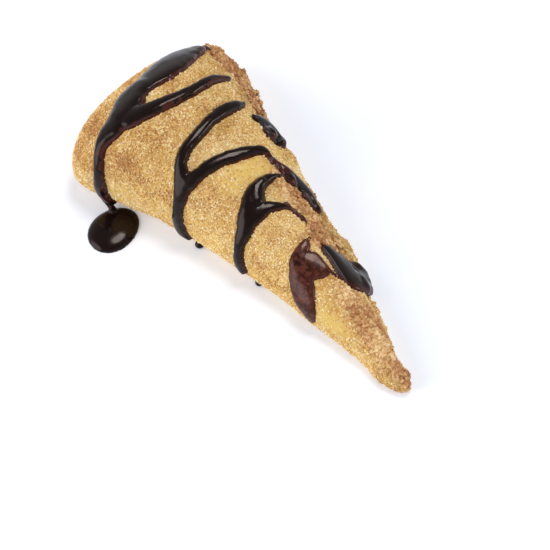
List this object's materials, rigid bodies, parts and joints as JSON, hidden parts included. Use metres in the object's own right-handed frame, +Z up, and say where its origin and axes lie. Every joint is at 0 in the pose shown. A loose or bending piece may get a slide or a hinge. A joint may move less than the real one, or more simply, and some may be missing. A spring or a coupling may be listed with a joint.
{
  "type": "cheesecake chimichanga",
  "caption": "Fried tortilla roll, plump and closed at one end and tapering to a flat crusty tip, with a ridge along one side and chocolate sauce drizzled across it into a small pool.",
  "frame": {"origin": "centre of the whole outline seen from above, sauce pool included, on the plane the pastry rests on", "axes": "+X from the plump end to the tip, +Y towards the side with the ridge, +Z up"},
  "size_m": [0.1292, 0.0676, 0.0305],
  "materials": {
    "crust": "golden fried dough under cinnamon sugar",
    "sauce": "glossy dark chocolate sauce",
    "sugar": "coarse sugar grains",
    "cinnamon": "cinnamon and toasted sugar grains"
  },
  "bodies": {
    "root": {"pastry": "crust"}
  },
  "joints": []
}
